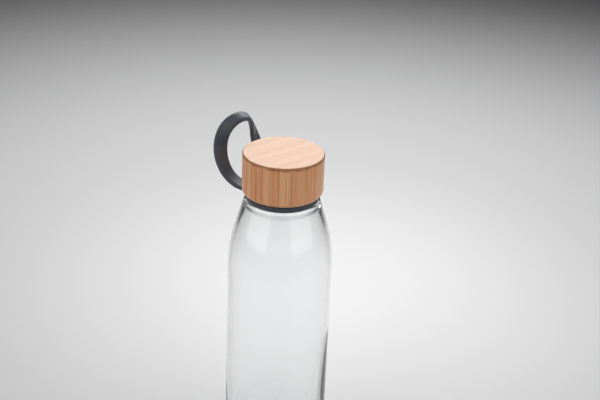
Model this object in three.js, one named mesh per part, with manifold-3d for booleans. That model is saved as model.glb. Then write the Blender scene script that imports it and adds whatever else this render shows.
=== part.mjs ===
// A half-litre glass water bottle with a bamboo screw cap and a silicone carry loop.
// Millimetres, +Z up. The origin is the centre of the flat base, on the bottle's axis.
// The carry loop stands out towards +Y, the back, and the bottle is the same left and right.
//
// Pieces: glass_body, the blown bottle with its threaded neck; neck_ring and carry_loop, the
// silicone strap; cap_shell, the turned bamboo; cap_liner, the threaded plastic insert glued
// into it; sealing_gasket, the ring that the liner presses onto the rim of the neck.
import * as THREE from "three";
import { mergeVertices } from "three/addons/utils/BufferGeometryUtils.js";
import Module from "manifold-3d";

const wasm = await Module();
wasm.setup();

// ---- Driving dimensions ----
const HEIGHT = 222; // base to the top of the cap
const BODY_R = 33;
const WALL = 2.2; // glass of the body
const BASE_THICKNESS = 5;
const CAP_R = 25.2;
const CAP_HEIGHT = 26.7;
const RIM_DROP = 9.2; // from the top of the cap down to the rim of the neck
const RING_R = 22.9;
const RING_HEIGHT = 3.5;
const BAND_WIDTH = 8.75;
const BAND_THICKNESS = 3.1;
const GAP = 0.3; // between pieces that touch
const SEGMENTS = 48; // round a full turn
const ARC_ERROR = 0.05; // between an outline's arc and the straight steps that stand for it

// ---- Neck and thread ----
const NECK_R = 17.6; // outside of the neck, between its threads
const NECK_CREST_R = 19;
const MOUTH_R = 14.9;
const LINER_BORE_R = 19.5;
const LINER_CREST_R = 18.1;
const THREAD_STARTS = 2;
const THREAD_PITCH = 4; // from one ridge to the next
const THREAD_LEAD = THREAD_PITCH * THREAD_STARTS; // rise in one turn
const THREAD_TURNS = 0.85; // of each ridge
const THREAD_CREST = 1; // width of a ridge's flat top
const THREAD_FOOT = 2.4; // width of its foot
const THREAD_BURY = 0.4; // how deep the foot lies inside its wall

// ---- Levels worked out from them ----
const CAP_BOTTOM = HEIGHT - CAP_HEIGHT;
const RING_TOP = CAP_BOTTOM - GAP;
const RING_BOTTOM = RING_TOP - RING_HEIGHT;
const RING_MIDDLE = (RING_TOP + RING_BOTTOM) / 2;
const LEDGE = RING_BOTTOM - GAP; // top of the shoulder, where the ring rests
const RIM = HEIGHT - RIM_DROP;
const NECK_THREAD_BOTTOM = RIM - 11.4;

// The outline through corners [x, y, fillet radius], each corner rounded by a tangent arc.
// It is closed if the first corner has a fillet, and otherwise runs from first to last.
function rounded(corners) {
  const at = corners.map(([x, y]) => new THREE.Vector2(x, y));
  const origin = new THREE.Vector2();
  const points = [];
  corners.forEach(([, , radius], i) => {
    if (!radius) {
      points.push(at[i]);
      return;
    }
    const before = at.at(i - 1).clone().sub(at[i]).normalize();
    const after = at[(i + 1) % at.length].clone().sub(at[i]).normalize();
    const half = Math.acos(before.dot(after)) / 2;
    const toCentre = before.clone().add(after).setLength(radius / Math.sin(half));
    const tangent = radius / Math.tan(half);
    const from = before.multiplyScalar(tangent).sub(toCentre);
    const to = after.multiplyScalar(tangent).sub(toCentre);
    const sweep = Math.atan2(from.cross(to), from.dot(to));
    const steps = Math.ceil(Math.abs(sweep) / (2 * Math.acos(1 - ARC_ERROR / radius)));
    for (let k = 0; k <= steps; k++) {
      const turned = from.clone().rotateAround(origin, (sweep * k) / steps);
      points.push(turned.add(toCentre).add(at[i]));
    }
  });
  if (corners[0][2]) points.push(points[0].clone());
  return points;
}

// A solid turned about Z. Its outline is in (radius, height) and goes up on its outer side.
function turned(corners) {
  return new THREE.LatheGeometry(rounded(corners), SEGMENTS).rotateX(Math.PI / 2);
}

// A closed skin over a row of sections, rings of as many points each. Looking back from the
// last section towards the first, the points go round anticlockwise.
function skin(sections) {
  const count = sections[0].length;
  const index = [];
  for (let i = 0; i + 1 < sections.length; i++) {
    for (let j = 0; j < count; j++) {
      const a = i * count + j;
      const b = i * count + ((j + 1) % count);
      index.push(a, b, b + count, a, b + count, a + count);
    }
  }
  const last = (sections.length - 1) * count;
  for (let j = 1; j + 1 < count; j++) {
    index.push(0, j + 1, j, last, last + j, last + j + 1);
  }
  return new THREE.BufferGeometry().setFromPoints(sections.flat()).setIndex(index);
}

// A closed geometry as a manifold-3d solid, and back.
function solid(geometry) {
  const bare = geometry.clone();
  bare.deleteAttribute("normal");
  bare.deleteAttribute("uv");
  const merged = mergeVertices(bare, 1e-4);
  const vertProperties = new Float32Array(merged.attributes.position.array);
  const triVerts = new Uint32Array(merged.index.array);
  return new wasm.Manifold(new wasm.Mesh({ numProp: 3, vertProperties, triVerts }));
}

function geometryOf(made) {
  const mesh = made.getMesh();
  const geometry = new THREE.BufferGeometry();
  geometry.setAttribute("position", new THREE.BufferAttribute(mesh.vertProperties, 3));
  geometry.setIndex(new THREE.BufferAttribute(mesh.triVerts, 1));
  geometry.computeVertexNormals();
  return geometry;
}

// A wall of revolution with its thread: right-handed ridges, one for each start, that rise out
// of the wall and die away into it. side is 1 for a thread on the outside of the wall and -1 for
// one on the inside.
function threaded(wall, wallR, crestR, bottom, side) {
  const steps = 40;
  const runOut = 0.12; // share of a ridge's length over which it rises to its full height
  const footR = wallR - side * THREAD_BURY;
  const lowR = wallR - (side * THREAD_BURY) / 2; // where the crest starts, just under the wall
  let made = solid(wall);
  for (let start = 0; start < THREAD_STARTS; start++) {
    const sections = [];
    for (let i = 0; i <= steps; i++) {
      const along = i / steps;
      const angle = (start / THREAD_STARTS + along * THREAD_TURNS) * 2 * Math.PI;
      const z = bottom + along * THREAD_TURNS * THREAD_LEAD;
      const rise = Math.min(1, along / runOut, (1 - along) / runOut);
      const topR = THREE.MathUtils.lerp(lowR, crestR, rise);
      const section = [
        [footR, THREAD_FOOT / 2],
        [topR, THREAD_CREST / 2],
        [topR, -THREAD_CREST / 2],
        [footR, -THREAD_FOOT / 2],
      ].map(([r, dz]) => new THREE.Vector3(r * Math.cos(angle), r * Math.sin(angle), z + dz));
      sections.push(side > 0 ? section : section.reverse());
    }
    made = made.add(solid(skin(sections)));
  }
  return geometryOf(made);
}

// ---- Glass body ----
const SHOULDER_SLOPE = 0.31; // radius lost for each millimetre of height on the upper shoulder
const SHOULDER_BEND_R = 100; // large arc from the straight wall into the shoulder
const SHOULDER_TOP_R = 23.6;
const SHOULDER_WALL = 3.6; // glass at the top of the shoulder, measured level
const FLARE_TOP = LEDGE + 4; // the bore of the mouth widens from here
const FLARE_FOOT = LEDGE - 5; // down to here
const THIN_HEIGHT = 100; // above here the wall is thin, and below it thickens to the heel
const HEEL_HEIGHT = 24;
const HEEL_WALL = 3.6;

function glassBody() {
  const bend = LEDGE - (BODY_R - SHOULDER_TOP_R) / SHOULDER_SLOPE;
  const innerR = BODY_R - WALL;
  const heelR = BODY_R - HEEL_WALL;
  const flareFootR = SHOULDER_TOP_R + (LEDGE - FLARE_FOOT) * SHOULDER_SLOPE - SHOULDER_WALL;
  const wall = turned([
    [0, 0],
    [BODY_R, 0, 5],
    [BODY_R, bend, SHOULDER_BEND_R],
    [SHOULDER_TOP_R, LEDGE, 2],
    [NECK_R, LEDGE, 0.8],
    [NECK_R, RIM, 1],
    [MOUTH_R, RIM, 1],
    [MOUTH_R, FLARE_TOP, 8],
    [flareFootR, FLARE_FOOT, 6],
    [innerR, bend, SHOULDER_BEND_R - WALL],
    [innerR, THIN_HEIGHT, 60],
    [heelR, HEEL_HEIGHT, 40],
    [heelR, BASE_THICKNESS, 7],
    [0, BASE_THICKNESS],
  ]);
  return threaded(wall, NECK_R, NECK_CREST_R, NECK_THREAD_BOTTOM, 1);
}

// ---- Bamboo cap shell, plastic liner and gasket ----
const SHELL_BORE_R = 21.5;
const SHELL_CROWN = 4.5; // wood above the recess
const LINER_CEILING = 1.8;
const GASKET_THICKNESS = 2;
const LINER_UNDER = RIM + GASKET_THICKNESS + 2 * GAP; // underside of the liner's ceiling
const LINER_BOTTOM = CAP_BOTTOM + GAP;
const LINER_TOP = LINER_UNDER + LINER_CEILING;

function capShell() {
  const recessTop = HEIGHT - SHELL_CROWN;
  return turned([
    [0, recessTop],
    [SHELL_BORE_R, recessTop, 0.5],
    [SHELL_BORE_R, CAP_BOTTOM, 0.3],
    [CAP_R, CAP_BOTTOM, 3.3],
    [CAP_R, HEIGHT, 1.6],
    [0, HEIGHT],
  ]);
}

// Grooves round the outside of the liner hold the glue.
function capLiner() {
  const outerR = SHELL_BORE_R - GAP;
  const depth = 0.5;
  const halfHeight = 0.8;
  const grooves = [0.25, 0.5, 0.75].flatMap((share) => {
    const middle = THREE.MathUtils.lerp(LINER_BOTTOM, LINER_TOP, share);
    return [
      [outerR, middle - halfHeight - depth],
      [outerR - depth, middle - halfHeight],
      [outerR - depth, middle + halfHeight],
      [outerR, middle + halfHeight + depth],
    ];
  });
  const wall = turned([
    [0, LINER_UNDER],
    [LINER_BORE_R, LINER_UNDER, 0.4],
    [LINER_BORE_R, LINER_BOTTOM, 0.3],
    [outerR, LINER_BOTTOM, 0.3],
    ...grooves,
    [outerR, LINER_TOP, 0.4],
    [0, LINER_TOP],
  ]);
  // The liner's ridges run just below the neck's, where the tightened cap pulls up on them.
  const below = (THREAD_CREST + THREAD_FOOT) / 2 + GAP / 2;
  return threaded(wall, LINER_BORE_R, LINER_CREST_R, NECK_THREAD_BOTTOM - below, -1);
}

function sealingGasket() {
  const bottom = RIM + GAP;
  const top = bottom + GASKET_THICKNESS;
  const innerR = MOUTH_R - 0.9;
  const outerR = LINER_BORE_R - GAP;
  return turned([
    [innerR, bottom, 0.5],
    [outerR, bottom, 0.5],
    [outerR, top, 0.5],
    [innerR, top, 0.5],
  ]);
}

// ---- Silicone strap: neck ring and carry loop ----
// The loop lies on a sheet rolled round an axis along X, so its legs leave the ring level and
// curl upwards. On the sheet its middle line is most of an ellipse, open where it meets the ring.
const SHEET_R = 24.6; // of the roll
const LOOP_HALF_WIDTH = 14.8; // of the ellipse, along X
const LOOP_CENTRE = 21.1; // of the ellipse, from the ring along the sheet
const LOOP_REACH = 52.1; // from the ring to the top of the loop along the sheet
const LOOP_HALF_LENGTH = LOOP_REACH - LOOP_CENTRE;
const TOP_TWIST = 1.92; // from the sheet to the band's flat face at the top of the loop
const TWIST_START = 0.26; // how far up its legs the band starts to twist
const ROOT_ANGLE = Math.acos(-LOOP_CENTRE / LOOP_HALF_LENGTH);
const BURIED_ANGLE = ROOT_ANGLE + 0.16; // the legs run on into the ring
const RING_BORE_R = NECK_R + GAP;
const FOLD_Y = RING_R + 1.6; // the legs fold on a line along X here, at the ring's mid height
const FOLD_R = BAND_THICKNESS / 2;
const FOLD_GAP = 0.35;

// Point, direction and flat-face normal of the band at an angle on the ellipse: 0 is the top of
// the loop. The band leaves the ring lying on the sheet. It twists on its way up, until it is
// nearly level at the top, where a finger carries it.
function bandFrame(angle) {
  const along = LOOP_CENTRE + LOOP_HALF_LENGTH * Math.cos(angle);
  const tilt = Math.max(0, along) / SHEET_R;
  const forward = new THREE.Vector3(0, Math.cos(tilt), Math.sin(tilt));
  const sheetNormal = new THREE.Vector3(0, -Math.sin(tilt), Math.cos(tilt));
  const point = new THREE.Vector3(
    LOOP_HALF_WIDTH * Math.sin(angle),
    RING_R + SHEET_R * Math.sin(tilt) + Math.min(0, along),
    RING_MIDDLE + SHEET_R * (1 - Math.cos(tilt)),
  );
  const direction = new THREE.Vector3(LOOP_HALF_WIDTH * Math.cos(angle), 0, 0)
    .addScaledVector(forward, -LOOP_HALF_LENGTH * Math.sin(angle))
    .normalize();
  const outwards = new THREE.Vector3().crossVectors(sheetNormal, direction);
  const height = 1 - Math.abs(angle) / ROOT_ANGLE;
  const twist = TOP_TWIST * THREE.MathUtils.smoothstep(height, TWIST_START, 1);
  const normal = sheetNormal.multiplyScalar(Math.cos(twist));
  normal.addScaledVector(outwards, Math.sin(twist));
  return { point, direction, normal };
}

// The whole band, in steps, with the corners of its section cut.
function band() {
  const steps = 60;
  const w = BAND_WIDTH / 2;
  const t = BAND_THICKNESS / 2;
  const cut = 0.8;
  const outline = [
    [w - cut, -t],
    [w, cut - t],
    [w, t - cut],
    [w - cut, t],
    [cut - w, t],
    [-w, t - cut],
    [-w, cut - t],
    [cut - w, -t],
  ];
  const sections = [];
  for (let i = 0; i <= steps; i++) {
    const { point, direction, normal } = bandFrame(BURIED_ANGLE * ((2 * i) / steps - 1));
    const across = new THREE.Vector3().crossVectors(normal, direction);
    const place = ([a, n]) => point.clone().addScaledVector(across, a).addScaledVector(normal, n);
    sections.push(outline.map(place));
  }
  return solid(skin(sections));
}

// A round bar along the folding line, centred at x.
function foldBar(radius, length, x) {
  const bar = new THREE.CylinderGeometry(radius, radius, length, 20).rotateZ(Math.PI / 2);
  return solid(bar.translate(x, FOLD_Y, RING_MIDDLE));
}

// The band is cut along the folding line. The stubs belong to the ring, and have hollow ends
// for the round ends of the loop's legs.
function strap() {
  const [loop, stubs] = band().splitByPlane([0, 1, 0], FOLD_Y);
  const ring = turned([
    [RING_BORE_R, RING_BOTTOM, 0.4],
    [RING_R, RING_BOTTOM, 0.7],
    [RING_R, RING_TOP, 0.7],
    [RING_BORE_R, RING_TOP, 0.4],
  ]);
  const root = bandFrame(ROOT_ANGLE);
  const slant = Math.atan(root.direction.x / root.direction.y);
  const legX = root.point.x + (FOLD_Y - RING_R) * Math.tan(slant);
  const legWidth = BAND_WIDTH / Math.cos(slant);
  const hollow = foldBar(FOLD_R + FOLD_GAP, 4 * legX, 0);
  const ends = [-legX, legX].map((x) => foldBar(FOLD_R, legWidth, x));
  return {
    ring: geometryOf(solid(ring).add(stubs.subtract(hollow))),
    loop: geometryOf(loop.add(ends[0]).add(ends[1])),
  };
}

// ---- Materials and assembly ----
const material = (color, roughness, extra = {}) =>
  new THREE.MeshStandardMaterial({ color, roughness, metalness: 0, ...extra });
const glass = material(0xe8efee, 0.05, { transparent: true, opacity: 0.35 });
const bamboo = material(0xd29a68, 0.55);
const strapSilicone = material(0x3e3f44, 0.5);
const linerPlastic = material(0xf0eee8, 0.45);
const clearSilicone = material(0xe6e6e2, 0.5);

const { ring, loop } = strap();
const bottle = new THREE.Group();
for (const [name, geometry, finish] of [
  ["glass_body", glassBody(), glass],
  ["neck_ring", ring, strapSilicone],
  ["carry_loop", loop, strapSilicone],
  ["cap_shell", capShell(), bamboo],
  ["cap_liner", capLiner(), linerPlastic],
  ["sealing_gasket", sealingGasket(), clearSilicone],
]) {
  const piece = new THREE.Mesh(geometry, finish);
  piece.name = name;
  bottle.add(piece);
}

export default bottle;
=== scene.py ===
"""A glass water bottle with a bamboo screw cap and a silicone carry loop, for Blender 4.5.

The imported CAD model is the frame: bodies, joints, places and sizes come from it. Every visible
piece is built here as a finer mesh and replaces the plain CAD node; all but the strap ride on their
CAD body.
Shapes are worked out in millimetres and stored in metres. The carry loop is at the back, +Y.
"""

import math

import bmesh
import bpy
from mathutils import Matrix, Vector


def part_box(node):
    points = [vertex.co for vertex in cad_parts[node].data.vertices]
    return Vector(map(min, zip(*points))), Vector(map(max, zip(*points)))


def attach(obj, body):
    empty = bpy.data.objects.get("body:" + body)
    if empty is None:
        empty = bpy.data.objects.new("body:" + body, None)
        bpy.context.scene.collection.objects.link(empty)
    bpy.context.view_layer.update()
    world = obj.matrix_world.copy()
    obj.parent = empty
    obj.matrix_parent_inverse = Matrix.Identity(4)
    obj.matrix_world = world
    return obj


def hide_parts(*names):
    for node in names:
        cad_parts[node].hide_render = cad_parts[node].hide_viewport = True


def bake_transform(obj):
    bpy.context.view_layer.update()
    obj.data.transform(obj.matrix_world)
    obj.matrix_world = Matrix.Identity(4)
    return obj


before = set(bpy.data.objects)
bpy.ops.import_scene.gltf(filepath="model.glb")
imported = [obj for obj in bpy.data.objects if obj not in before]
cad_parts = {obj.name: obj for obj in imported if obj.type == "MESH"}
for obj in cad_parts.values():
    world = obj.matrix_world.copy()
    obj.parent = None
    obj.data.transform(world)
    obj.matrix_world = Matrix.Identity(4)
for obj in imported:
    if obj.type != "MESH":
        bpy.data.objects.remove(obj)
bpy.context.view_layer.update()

MM = 0.001


def corner(node, end, axis):
    """One coordinate of a CAD node's box in millimetres: end 0 is low and 1 is high."""
    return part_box(node)[end][axis] / MM


# ---- Sizes taken from the frame ----
BODY_R = corner("glass_body", 1, 0)
RIM = corner("glass_body", 1, 2)
CAP_R = corner("cap_shell", 1, 0)
CAP_BOTTOM = corner("cap_shell", 0, 2)
CAP_TOP = corner("cap_shell", 1, 2)
LINER_R = corner("cap_liner", 1, 0)
LINER_BOTTOM = corner("cap_liner", 0, 2)
LINER_TOP = corner("cap_liner", 1, 2)
GASKET_R = corner("sealing_gasket", 1, 0)
GASKET_BOTTOM = corner("sealing_gasket", 0, 2)
GASKET_TOP = corner("sealing_gasket", 1, 2)
RING_R = corner("neck_ring", 1, 0)
RING_BOTTOM = corner("neck_ring", 0, 2)
RING_TOP = corner("neck_ring", 1, 2)
RING_MIDDLE = (RING_BOTTOM + RING_TOP) / 2

# ---- Sizes repeated from the CAD design ----
GAP = 0.3
WALL = 2.2
BASE_THICKNESS = 5
LEDGE = RING_BOTTOM - GAP
NECK_R = 17.6
MOUTH_R = 14.9
NECK_CREST_R = 19
NECK_THREAD_BOTTOM = RIM - 11.4
SHOULDER_SLOPE = 0.31
SHOULDER_BEND_R = 100
SHOULDER_TOP_R = 23.6
SHOULDER_WALL = 3.6
FLARE_TOP = LEDGE + 4
FLARE_FOOT = LEDGE - 5
THIN_HEIGHT = 100
HEEL_HEIGHT = 24
HEEL_WALL = 3.6
SHELL_BORE_R = 21.5
SHELL_CROWN = 4.5
LINER_BORE_R = 19.5
LINER_CREST_R = 18.1
LINER_UNDER = GASKET_TOP + GAP
LINER_THREAD_BOTTOM = NECK_THREAD_BOTTOM - 1.85
THREAD_STARTS = 2
THREAD_LEAD = 8
THREAD_TURNS = 0.85
THREAD_CREST = 1
THREAD_FOOT = 2.4
BAND_WIDTH = 8.75
BAND_THICKNESS = 3.1
SHEET_R = 24.6
LOOP_HALF_WIDTH = 14.8
LOOP_CENTRE = 21.1
LOOP_REACH = 52.1
LOOP_HALF_LENGTH = LOOP_REACH - LOOP_CENTRE
TOP_TWIST = 1.92
TWIST_START = 0.26
ROOT_ANGLE = math.acos(-LOOP_CENTRE / LOOP_HALF_LENGTH)

# ---- Camera ----
CAMERA_AZIMUTH = -39.9
CAMERA_ELEVATION = 25.5
CAMERA_DISTANCE = 781.5
CAMERA_ROLL = 2.4
CAMERA_TARGET = Vector((8.5, -7.1, CAP_TOP - 31.8)) * MM
SENSOR_WIDTH = 36
FOCAL_LENGTH = 75.7

# ---- Fineness of the visible meshes ----
ARC_ERROR = 0.004  # between a fillet and the straight steps that stand for it
THREAD_STEP = 0.22  # rows of a wall that carries a thread
CREASE = 40  # edges sharper than this many degrees stay sharp
STRAP_VOXEL = 0.33  # grid on which ring and loop melt together


# ---------------------------------------------------------------- mesh tools
def rounded(corners, closed=False):
    """The outline through corners (x, y, fillet radius), each rounded by a tangent arc."""
    at = [Vector(c[:2]) for c in corners]
    points = []
    for i, (_, _, radius) in enumerate(corners):
        if not radius:
            points.append(at[i])
            continue
        before = (at[i - 1] - at[i]).normalized()
        after = (at[(i + 1) % len(at)] - at[i]).normalized()
        half = before.angle(after) / 2
        to_centre = (before + after).normalized() * (radius / math.sin(half))
        start = before * (radius / math.tan(half)) - to_centre
        end = after * (radius / math.tan(half)) - to_centre
        sweep = math.atan2(start.x * end.y - start.y * end.x, start.dot(end))
        steps = max(3, math.ceil(abs(sweep) / (2 * math.acos(1 - ARC_ERROR / radius))))
        for k in range(steps + 1):
            turn = sweep * k / steps
            c, s = math.cos(turn), math.sin(turn)
            spoke = Vector((c * start.x - s * start.y, s * start.x + c * start.y))
            points.append(spoke + to_centre + at[i])
    if closed:
        points.append(points[0].copy())
    return points


def divided(points, low, high, step):
    """The outline with its long steps between two heights cut into short ones."""
    out = [points[0]]
    for a, b in zip(points, points[1:]):
        middle = (a.y + b.y) / 2
        parts = math.ceil((b - a).length / step) if low < middle < high else 1
        out += [a.lerp(b, k / parts) for k in range(1, parts + 1)]
    return out


def new_object(name, verts, faces, material):
    """A smooth-shaded object from vertices in millimetres."""
    mesh = bpy.data.meshes.new(name)
    mesh.from_pydata([Vector(v) * MM for v in verts], [], faces)
    bm = bmesh.new()
    bm.from_mesh(mesh)
    bmesh.ops.remove_doubles(bm, verts=bm.verts[:], dist=1e-7)
    bm.to_mesh(mesh)
    bm.free()
    mesh.shade_smooth()
    mesh.set_sharp_from_angle(angle=math.radians(CREASE))
    obj = bpy.data.objects.new(name, mesh)
    bpy.context.scene.collection.objects.link(obj)
    mesh.materials.append(material)
    return obj


def lathe(outline, segments, shift=None):
    """Vertices and faces of an outline (radius, height) turned about Z. It goes up on its outer
    side. shift(radius, height, angle) may change a radius."""
    verts = []
    faces = []
    rows = len(outline)
    for i in range(segments):
        angle = 2 * math.pi * i / segments
        ahead = (i + 1) % segments * rows
        for j, (r, z) in enumerate(outline):
            radius = shift(r, z, angle) if shift and r > 0 else r
            verts.append((radius * math.cos(angle), radius * math.sin(angle), z))
            if j + 1 < rows:
                here = i * rows + j
                faces.append((here, ahead + j, ahead + j + 1, here + 1))
    return verts, faces


def smoothstep(low, high, value):
    """0 below low and 1 above high, with a smooth rise between."""
    share = min(1, max(0, (value - low) / (high - low)))
    return share * share * (3 - 2 * share)


def thread_rise(z, angle, bottom):
    """How far a thread stands up at a height and angle, from 0 on the wall to 1 on a crest."""
    rise = 0
    for start in range(THREAD_STARTS):
        along = (angle / (2 * math.pi) - start / THREAD_STARTS) % 1
        off = abs(z - bottom - along * THREAD_LEAD)
        ends = smoothstep(0, 0.1, along) * smoothstep(0, 0.1, THREAD_TURNS - along)
        flank = 1 - smoothstep(THREAD_CREST / 2 - 0.15, THREAD_FOOT / 2, off)
        rise = max(rise, ends * flank)
    return rise


def evaluated(obj):
    """Applies an object's modifiers."""
    graph = bpy.context.evaluated_depsgraph_get()
    mesh = bpy.data.meshes.new_from_object(obj.evaluated_get(graph))
    obj.modifiers.clear()
    obj.data = mesh
    return obj


def stands_for(obj, body, slot, *nodes):
    """An object rides on a body, in place of its plain CAD nodes."""
    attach(obj, body)
    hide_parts(*nodes)


# ---------------------------------------------------------------- material tools
class Graph:
    """A new material on one Principled shader, with short ways to add nodes."""

    def __init__(self, name, sockets):
        self.material = bpy.data.materials.new(name)
        self.material.use_nodes = True
        self.tree = self.material.node_tree
        self.shader = self.tree.nodes["Principled BSDF"]
        for socket, value in sockets.items():
            self.shader.inputs[socket].default_value = value

    def put(self, value, socket):
        """A linked socket or a plain value goes into a socket."""
        if isinstance(value, bpy.types.NodeSocket):
            self.tree.links.new(value, socket)
        else:
            socket.default_value = value

    def add(self, kind, inputs, **settings):
        node = self.tree.nodes.new("ShaderNode" + kind)
        for key, value in settings.items():
            setattr(node, key, value)
        for key, value in inputs.items():
            self.put(value, node.inputs[key])
        return node

    def math(self, operation, a, b=0.0, c=0.0, clamp=False):
        inputs = {0: a, 1: b, 2: c}
        return self.add("Math", inputs, operation=operation, use_clamp=clamp).outputs[0]

    def place(self, scale):
        """Object coordinates in millimetres, scaled along X, Y and Z."""
        coords = self.add("TexCoord", {}).outputs["Object"]
        scale = [s / MM for s in scale]
        inputs = {0: coords, 1: scale}
        return self.add("VectorMath", inputs, operation="MULTIPLY").outputs[0]

    def noise(self, scale, detail=2.0, roughness=0.5):
        inputs = {"Vector": self.place(scale), "Scale": 1.0, "Detail": detail, "Roughness": roughness}
        return self.add("TexNoise", inputs).outputs["Fac"]

    def between(self, value, low, high, out_low=0.0, out_high=1.0):
        """A smooth change from out_low to out_high as the value goes from low to high."""
        inputs = {"Value": value, 1: low, 2: high, 3: out_low, 4: out_high}
        node = self.add("MapRange", inputs, interpolation_type="SMOOTHSTEP")
        return node.outputs["Result"]

    def mix(self, share, a, b):
        """Colour a turning into colour b as the share goes from 0 to 1."""
        inputs = {"Factor": share, 6: a, 7: b}
        return self.add("Mix", inputs, data_type="RGBA").outputs[2]

    def bump(self, height, strength, distance):
        inputs = {"Height": height, "Strength": strength, "Distance": distance * MM}
        self.put(self.add("Bump", inputs).outputs[0], self.shader.inputs["Normal"])


def rgb(red, green, blue):
    """A screen colour, 0 to 255, as the linear colour that shaders take."""
    return tuple((c / 255 / 12.92) if c < 10 else ((c / 255 + 0.055) / 1.055) ** 2.4
                 for c in (red, green, blue)) + (1.0,)


# ---------------------------------------------------------------- materials
def glass_material():
    graph = Graph("clear_glass", {
        "Base Color": (0.995, 0.997, 1.0, 1.0),
        "Transmission Weight": 1.0,
        "Roughness": 0.0,
        "IOR": 1.5,
    })
    ripple = graph.noise((0.02, 0.02, 0.008), detail=1.0)
    graph.bump(ripple, 0.25, 1.5)
    return graph.material


STRIP = 4.35  # thickness of one bamboo lamination
STRIP_START = 0.16  # where the joints between laminations fall along Y
STRIP_TURN = 2.4  # the tones of the strips go up and down along this sine
STRIP_PHASE = 8.03
# The darker band under the top edge is painted shade.
RIM_SHADE_HEIGHT = 2.6  # height of the darker band under the top edge


def bamboo_material():
    """Laminated bamboo: strips stacked along Y with their fibres along Z, so the side shows
    streaks and the top shows pale end grain."""
    graph = Graph("laminated_bamboo", {
        "Roughness": 0.5,
        "IOR": 1.5,
        "Coat Roughness": 0.32,
    })
    split = graph.add("SeparateXYZ", {0: graph.place((1, 1, 1))})
    height = split.outputs["Z"]
    # The joints between the strips wander a little. Each strip has a tone of its own.
    wander = graph.math("MULTIPLY_ADD", graph.noise((0.05, 0.0, 0.03)), 0.5, -0.25)
    depth = graph.math("ADD", split.outputs["Y"], wander)
    depth = graph.math("MULTIPLY_ADD", depth, 1 / STRIP, STRIP_START)
    strip = graph.math("FLOOR", depth)
    across = graph.math("FRACT", depth)
    tone = graph.math("SINE", graph.math("MULTIPLY_ADD", strip, STRIP_TURN, STRIP_PHASE))

    normal = graph.add("SeparateXYZ", {0: graph.add("TexCoord", {}).outputs["Normal"]})
    end_grain = graph.between(normal.outputs["Z"], 0.82, 0.96)
    side = graph.math("SUBTRACT", 1.0, end_grain)

    # Fibres, all long along Z, from hair-thin to broad, and the dark spots of their bundles.
    fine = graph.noise((2.2, 2.2, 0.03), detail=3.0, roughness=0.65)
    streak = graph.noise((1.3, 1.3, 0.012), detail=2.0)
    broad = graph.noise((0.16, 0.16, 0.008), detail=2.0)
    bundles = graph.add("TexVoronoi", {"Vector": graph.place((1.35, 1.7, 0.012)), "Scale": 1.0})
    size = graph.math("MULTIPLY_ADD", across, 0.12, 0.1)
    spot = graph.math("DIVIDE", bundles.outputs["Distance"], size)
    spot = graph.between(spot, 0.6, 1.6, 1.0, 0.0)

    # The share of pale wood adds them up.
    share = graph.math("MULTIPLY_ADD", tone, 0.16, -0.84)
    share = graph.math("MULTIPLY_ADD", fine, 1.0, share)
    share = graph.math("MULTIPLY_ADD", streak, 1.3, share)
    share = graph.math("MULTIPLY_ADD", broad, 0.4, share, clamp=True)
    side_colour = graph.mix(share, rgb(215, 113, 54), rgb(255, 207, 154))
    end_colour = graph.mix(share, rgb(218, 170, 136), rgb(242, 202, 172))
    colour = graph.mix(end_grain, side_colour, end_colour)
    dark = rgb(132, 70, 34)
    spots = graph.math("MULTIPLY", spot, graph.math("MULTIPLY_ADD", side, 0.12, 0.12))
    colour = graph.mix(spots, colour, dark)
    # A thin glue line shows at the joints, most between dark strips.
    edge = graph.math("ABSOLUTE", graph.math("SUBTRACT", across, 0.5))
    glue = graph.between(edge, 0.42, 0.49)
    seen = graph.math("MULTIPLY_ADD", tone, -0.22, 0.3)
    seen = graph.math("MULTIPLY", seen, graph.math("MULTIPLY_ADD", side, 0.75, 0.25))
    colour = graph.mix(graph.math("MULTIPLY", glue, seen), colour, dark)
    # Painted shade: the side is darker in an uneven band just under the bright top edge.
    uneven = graph.math("MULTIPLY_ADD", broad, 3.0, -1.5)
    rim = graph.between(graph.math("ADD", height, uneven), CAP_TOP - RIM_SHADE_HEIGHT, CAP_TOP - 1)
    rim = graph.math("MULTIPLY", rim, graph.math("MULTIPLY", side, 0.68))
    colour = graph.mix(rim, colour, dark)
    # Painted light: the side is paler towards its foot, standing in for light bounced up from the
    # glass and floor.
    foot_bounce_light = graph.between(height, CAP_BOTTOM + 0.4, CAP_BOTTOM + 4, 0.35, 0.0)
    colour = graph.mix(foot_bounce_light, colour, rgb(250, 190, 146))
    graph.put(colour, graph.shader.inputs["Base Color"])

    graph.put(graph.math("MULTIPLY", side, 0.4), graph.shader.inputs["Coat Weight"])
    rough = graph.math("MULTIPLY_ADD", fine, 0.15, 0.4)
    graph.put(rough, graph.shader.inputs["Roughness"])
    relief = graph.math("MULTIPLY_ADD", spot, -0.6, fine)
    graph.bump(relief, 0.35, 0.12)
    return graph.material


def silicone_material():
    graph = Graph("charcoal_silicone", {
        "Roughness": 0.5,
        "IOR": 1.43,
        "Sheen Weight": 0.3,
        "Sheen Roughness": 0.4,
    })
    cloud = graph.noise((0.12, 0.12, 0.12), detail=3.0)
    grain = graph.noise((6, 6, 6), detail=2.0)
    colour = graph.mix(cloud, rgb(62, 65, 73), rgb(80, 84, 93))
    graph.put(colour, graph.shader.inputs["Base Color"])
    rough = graph.math("MULTIPLY_ADD", cloud, 0.16, 0.38)
    graph.put(rough, graph.shader.inputs["Roughness"])
    graph.bump(grain, 0.25, 0.04)
    return graph.material


def plastic_material():
    graph = Graph("moulded_polypropylene", {"Roughness": 0.4, "IOR": 1.49})
    cloud = graph.noise((0.2, 0.2, 0.2), detail=2.0)
    graph.put(graph.mix(cloud, rgb(226, 223, 214), rgb(238, 236, 229)),
              graph.shader.inputs["Base Color"])
    graph.put(graph.math("MULTIPLY_ADD", cloud, 0.2, 0.3), graph.shader.inputs["Roughness"])
    graph.bump(graph.noise((9, 9, 9)), 0.15, 0.03)
    return graph.material


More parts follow.
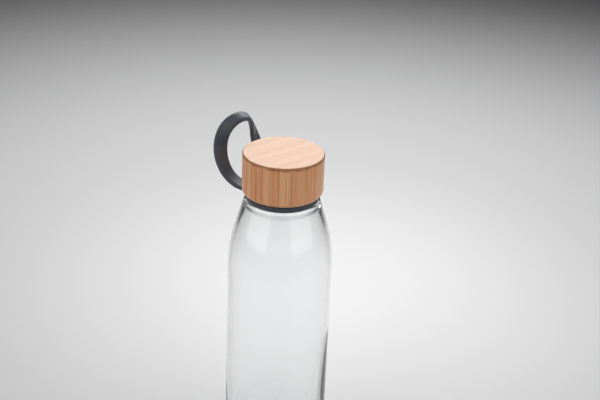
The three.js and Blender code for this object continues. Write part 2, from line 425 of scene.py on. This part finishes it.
def gasket_material():
    graph = Graph("clear_silicone", {
        "Roughness": 0.45,
        "IOR": 1.42,
        "Subsurface Weight": 0.4,
        "Subsurface Scale": 0.002,
    })
    cloud = graph.noise((0.3, 0.3, 0.3), detail=2.0)
    graph.put(graph.mix(cloud, rgb(214, 215, 212), rgb(232, 232, 229)),
              graph.shader.inputs["Base Color"])
    graph.bump(graph.noise((7, 7, 7)), 0.2, 0.03)
    return graph.material


# ---------------------------------------------------------------- pieces
WAVES = 0.09  # height of the gentle waves in the inner wall
LEAN = 0.9  # how far the inner wall leans to one side low down
LEAN_TURN = math.radians(40)


def glass_body():
    """The bottle, with an inner wall as uneven as blown glass and its threads in the surface."""
    bend = LEDGE - (BODY_R - SHOULDER_TOP_R) / SHOULDER_SLOPE
    inner_r = BODY_R - WALL
    heel_r = BODY_R - HEEL_WALL
    flare_foot_r = SHOULDER_TOP_R + (LEDGE - FLARE_FOOT) * SHOULDER_SLOPE - SHOULDER_WALL
    outline = rounded([
        (0, 0.9, 0),
        (20, 0.9, 8),
        (26, 0, 2),
        (BODY_R, 0, 5),
        (BODY_R, bend, SHOULDER_BEND_R),
        (SHOULDER_TOP_R, LEDGE, 2),
        (NECK_R, LEDGE, 0.8),
        (NECK_R, RIM, 1),
        (MOUTH_R, RIM, 1),
        (MOUTH_R, FLARE_TOP, 8),
        (flare_foot_r, FLARE_FOOT, 6),
        (inner_r, bend, SHOULDER_BEND_R - WALL),
        (inner_r, THIN_HEIGHT, 60),
        (heel_r, HEEL_HEIGHT, 40),
        (heel_r, BASE_THICKNESS - 0.4, 7),
        (0, BASE_THICKNESS + 1, 0),
    ])
    outline = divided(outline, LEDGE, RIM, THREAD_STEP)
    outline = divided(outline, BASE_THICKNESS, LEDGE, 4)
    crest = NECK_CREST_R - NECK_R
    uneven_foot = BASE_THICKNESS + 6
    uneven_top = bend - 20

    def shift(r, z, angle):
        if abs(r - NECK_R) < 0.01 and z > LEDGE:
            return r + crest * thread_rise(z, angle, NECK_THREAD_BOTTOM)
        above = z - uneven_foot
        below = uneven_top - z
        if r < BODY_R - WALL / 2 and above > 0 and below > 0:
            fade = smoothstep(0, 20, above) * smoothstep(0, 20, below)
            wave = math.sin(2 * angle + z / 31) + 0.7 * math.sin(3 * angle - z / 23 + 1.1)
            low = smoothstep(0, 15, above) * smoothstep(0, 60, THIN_HEIGHT + 5 - z)
            return r + WAVES * fade * wave - LEAN * low * math.cos(angle + LEAN_TURN)
        return r

    obj = new_object("glass_bottle", *lathe(outline, 192, shift), glass_material())
    stands_for(obj, "bottle", "glass", "glass_body")


def bamboo_cap():
    """The turned shell, with a crisp top edge, a soft bottom edge and the recess underneath."""
    recess_top = CAP_TOP - SHELL_CROWN
    outline = rounded([
        (0, recess_top, 0),
        (SHELL_BORE_R, recess_top, 0.5),
        (SHELL_BORE_R, CAP_BOTTOM, 0.3),
        (CAP_R, CAP_BOTTOM, 3.3),
        (CAP_R, CAP_TOP, 1),
        (0, CAP_TOP, 0),
    ])
    obj = new_object("bamboo_cap", *lathe(outline, 256), bamboo_material())
    stands_for(obj, "cap", "bamboo", "cap_shell")


def cap_liner():
    """The threaded insert, with grooves round its outside that hold the glue."""
    depth = 0.5  # of a groove
    half_height = 0.8  # of its flat bottom
    outline = [
        (0, LINER_UNDER, 0),
        (LINER_BORE_R, LINER_UNDER, 0.4),
        (LINER_BORE_R, LINER_BOTTOM, 0.3),
        (LINER_R, LINER_BOTTOM, 0.3),
    ]
    for share in (0.25, 0.5, 0.75):
        middle = LINER_BOTTOM + share * (LINER_TOP - LINER_BOTTOM)
        outline += [
            (LINER_R, middle - half_height - depth, 0),
            (LINER_R - depth, middle - half_height, 0),
            (LINER_R - depth, middle + half_height, 0),
            (LINER_R, middle + half_height + depth, 0),
        ]
    outline += [(LINER_R, LINER_TOP, 0.4), (0, LINER_TOP, 0)]
    outline = divided(rounded(outline), LINER_BOTTOM + 0.3, LINER_UNDER - 0.4, THREAD_STEP)
    crest = LINER_BORE_R - LINER_CREST_R

    def shift(r, z, angle):
        if abs(r - LINER_BORE_R) < 0.01:
            return r - crest * thread_rise(z, angle, LINER_THREAD_BOTTOM)
        return r

    obj = new_object("cap_insert", *lathe(outline, 160, shift), plastic_material())
    stands_for(obj, "cap", "liner_plastic", "cap_liner")


def sealing_gasket():
    """A flat ring that covers the rim of the neck."""
    inner_r = MOUTH_R - 0.9
    outline = rounded([
        (inner_r, GASKET_BOTTOM, 0.5),
        (GASKET_R, GASKET_BOTTOM, 0.5),
        (GASKET_R, GASKET_TOP, 0.5),
        (inner_r, GASKET_TOP, 0.5),
    ], closed=True)
    obj = new_object("gasket_ring", *lathe(outline, 128), gasket_material())
    stands_for(obj, "seal", "gasket_silicone", "sealing_gasket")


def band_frame(angle):
    """Point, direction and flat-face normal of the band, as in the CAD design."""
    along = LOOP_CENTRE + LOOP_HALF_LENGTH * math.cos(angle)
    tilt = max(0, along) / SHEET_R
    forward = Vector((0, math.cos(tilt), math.sin(tilt)))
    sheet_normal = Vector((0, -math.sin(tilt), math.cos(tilt)))
    point = Vector((
        LOOP_HALF_WIDTH * math.sin(angle),
        RING_R + SHEET_R * math.sin(tilt) + min(0, along),
        RING_MIDDLE + SHEET_R * (1 - math.cos(tilt)),
    ))
    direction = Vector((LOOP_HALF_WIDTH * math.cos(angle), 0, 0))
    direction -= forward * (LOOP_HALF_LENGTH * math.sin(angle))
    direction.normalize()
    outwards = sheet_normal.cross(direction)
    height = 1 - abs(angle) / ROOT_ANGLE
    twist = TOP_TWIST * smoothstep(TWIST_START, 1, height)
    normal = sheet_normal * math.cos(twist) + outwards * math.sin(twist)
    return point, direction, normal


def band_mesh():
    """The band as a closed skin. Its section is a rectangle with well rounded corners, and it
    widens a little where it runs into the ring."""
    steps = 220
    around = 28
    power = 0.42  # 1 would make the section an ellipse and 0 a rectangle
    end_angle = ROOT_ANGLE + 0.15
    verts = []
    faces = []
    for i in range(steps + 1):
        angle = end_angle * (2 * i / steps - 1)
        point, direction, normal = band_frame(angle)
        across = normal.cross(direction)
        flare = 1 + 0.16 * smoothstep(0.82, 1.02, abs(angle) / ROOT_ANGLE)
        for k in range(around):
            turn = 2 * math.pi * (k + 0.5) / around
            c, s = math.cos(turn), math.sin(turn)
            a = math.copysign(abs(c) ** power, c) * BAND_WIDTH / 2 * flare
            n = math.copysign(abs(s) ** power, s) * BAND_THICKNESS / 2
            verts.append(point + across * a + normal * n)
    for i in range(steps):
        for k in range(around):
            ahead = (k + 1) % around
            here = i * around
            faces.append((here + k, here + ahead, here + around + ahead, here + around + k))
    faces.append(tuple(reversed(range(around))))
    faces.append(tuple(range(steps * around, (steps + 1) * around)))
    return verts, faces


def strap():
    """Ring and loop in one moulding, melted together so that the legs run into the ring."""
    rubber = silicone_material()
    inner_r = NECK_R + GAP
    outline = rounded([
        (inner_r, RING_BOTTOM, 0.4),
        (RING_R, RING_BOTTOM, 0.7),
        (RING_R, RING_TOP, 0.7),
        (inner_r, RING_TOP, 0.4),
    ], closed=True)
    obj = new_object("silicone_strap", *lathe(outline, 192), rubber)
    band = new_object("band", *band_mesh(), rubber)
    join = obj.modifiers.new("join", "BOOLEAN")
    join.operation = "UNION"
    join.solver = "EXACT"
    join.object = band
    melt = obj.modifiers.new("melt", "REMESH")
    melt.mode = "VOXEL"
    melt.voxel_size = STRAP_VOXEL * MM
    melt.use_smooth_shade = True
    soften = obj.modifiers.new("soften", "SMOOTH")
    soften.factor = 0.5
    soften.iterations = 5
    evaluated(obj)
    bpy.data.objects.remove(band)
    if not obj.data.materials:
        obj.data.materials.append(rubber)
    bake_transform(obj)
    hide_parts("neck_ring", "carry_loop")


# ---------------------------------------------------------------- stage, light, camera
def around_target(azimuth, elevation, distance):
    """A place seen from the bottle at an azimuth (0 is the front, -Y) and elevation."""
    turn = math.radians(azimuth - 90)
    rise = math.radians(elevation)
    level = math.cos(rise)
    way = Vector((level * math.cos(turn), level * math.sin(turn), math.sin(rise)))
    return CAMERA_TARGET + way * distance * MM


def camera():
    """The camera looks down on the cap from the front left, rolled a little."""
    data = bpy.data.cameras.new("camera")
    data.lens = FOCAL_LENGTH
    data.sensor_width = SENSOR_WIDTH
    data.clip_start = 0.05
    data.clip_end = 50
    obj = bpy.data.objects.new("camera", data)
    bpy.context.scene.collection.objects.link(obj)
    obj.location = around_target(CAMERA_AZIMUTH, CAMERA_ELEVATION, CAMERA_DISTANCE)
    look = (CAMERA_TARGET - obj.location).to_track_quat("-Z", "Y").to_matrix()
    obj.rotation_euler = look.to_euler()
    obj.rotation_euler.rotate_axis("Z", math.radians(CAMERA_ROLL))
    bpy.context.scene.camera = obj


def softbox(name, azimuth, elevation, distance, width, height, power):
    """A rectangular light that faces the bottle and that the camera doesn't see."""
    data = bpy.data.lights.new(name, "AREA")
    data.shape = "RECTANGLE"
    data.size = width * MM
    data.size_y = height * MM
    data.energy = power
    obj = bpy.data.objects.new(name, data)
    bpy.context.scene.collection.objects.link(obj)
    obj.location = around_target(azimuth, elevation, distance)
    aim = (CAMERA_TARGET - obj.location).to_track_quat("-Z", "Y")
    obj.rotation_euler = aim.to_euler()
    obj.visible_camera = False


# The pool of light is painted into the floor's colour.
POOL_RIGHT = 35  # from the bottle to the middle of the pool of light, as the camera sees it
POOL_BEHIND = 195
FLOOR_RADIUS = 12000


def floor():
    """A pale floor whose colour holds a painted pool of light behind the bottle and grows darker away
    from it as painted shade.
    """
    graph = Graph("floor_paper_painted_light", {"Roughness": 0.9, "Specular IOR Level": 0.1})
    turn = math.radians(CAMERA_AZIMUTH)
    right = Vector((math.cos(turn), math.sin(turn), 0))
    behind = Vector((-math.sin(turn), math.cos(turn), 0))
    pool = (right * POOL_RIGHT + behind * POOL_BEHIND) * MM
    coords = graph.add("TexCoord", {}).outputs["Object"]
    away = graph.add("VectorMath", {0: coords, 1: pool}, operation="DISTANCE").outputs["Value"]
    # Painted light and shade: the colour is pale in the pool and fades to near black far from it.
    near = graph.between(away, 0, 0.33)
    far = graph.between(away, 0.08, 1.14)
    colour = graph.mix(near, (0.88, 0.88, 0.88, 1), (0.655, 0.655, 0.655, 1))
    colour = graph.mix(far, colour, (0.046, 0.046, 0.048, 1))
    graph.put(colour, graph.shader.inputs["Base Color"])
    verts, faces = lathe([(FLOOR_RADIUS, 0), (0, 0)], 96)
    obj = new_object("floor", verts, faces, graph.material)


def lights():
    """The back light makes the bright floor and the top of the cap. The two large ones in front
    stand to the left and right, and the dark gap between them shows in the glass."""
    softbox("back_softbox", CAMERA_AZIMUTH + 180, 34, 1300, 1200, 700, 12.0)
    softbox("top_softbox", CAMERA_AZIMUTH + 90, 80, 1500, 1200, 1200, 1.6)
    softbox("left_softbox", CAMERA_AZIMUTH - 62, 24, 2200, 2800, 2600, 21)
    softbox("right_softbox", CAMERA_AZIMUTH + 55, 24, 2200, 2600, 2600, 17)
    world = bpy.data.worlds.new("studio")
    bpy.context.scene.world = world
    world.use_nodes = True
    background = world.node_tree.nodes["Background"]
    background.inputs["Color"].default_value = (0.32, 0.32, 0.325, 1)
    background.inputs["Strength"].default_value = 1.0


camera()
floor()
lights()
glass_body()
bamboo_cap()
cap_liner()
sealing_gasket()
strap()
bpy.context.scene.view_settings.view_transform = "Standard"
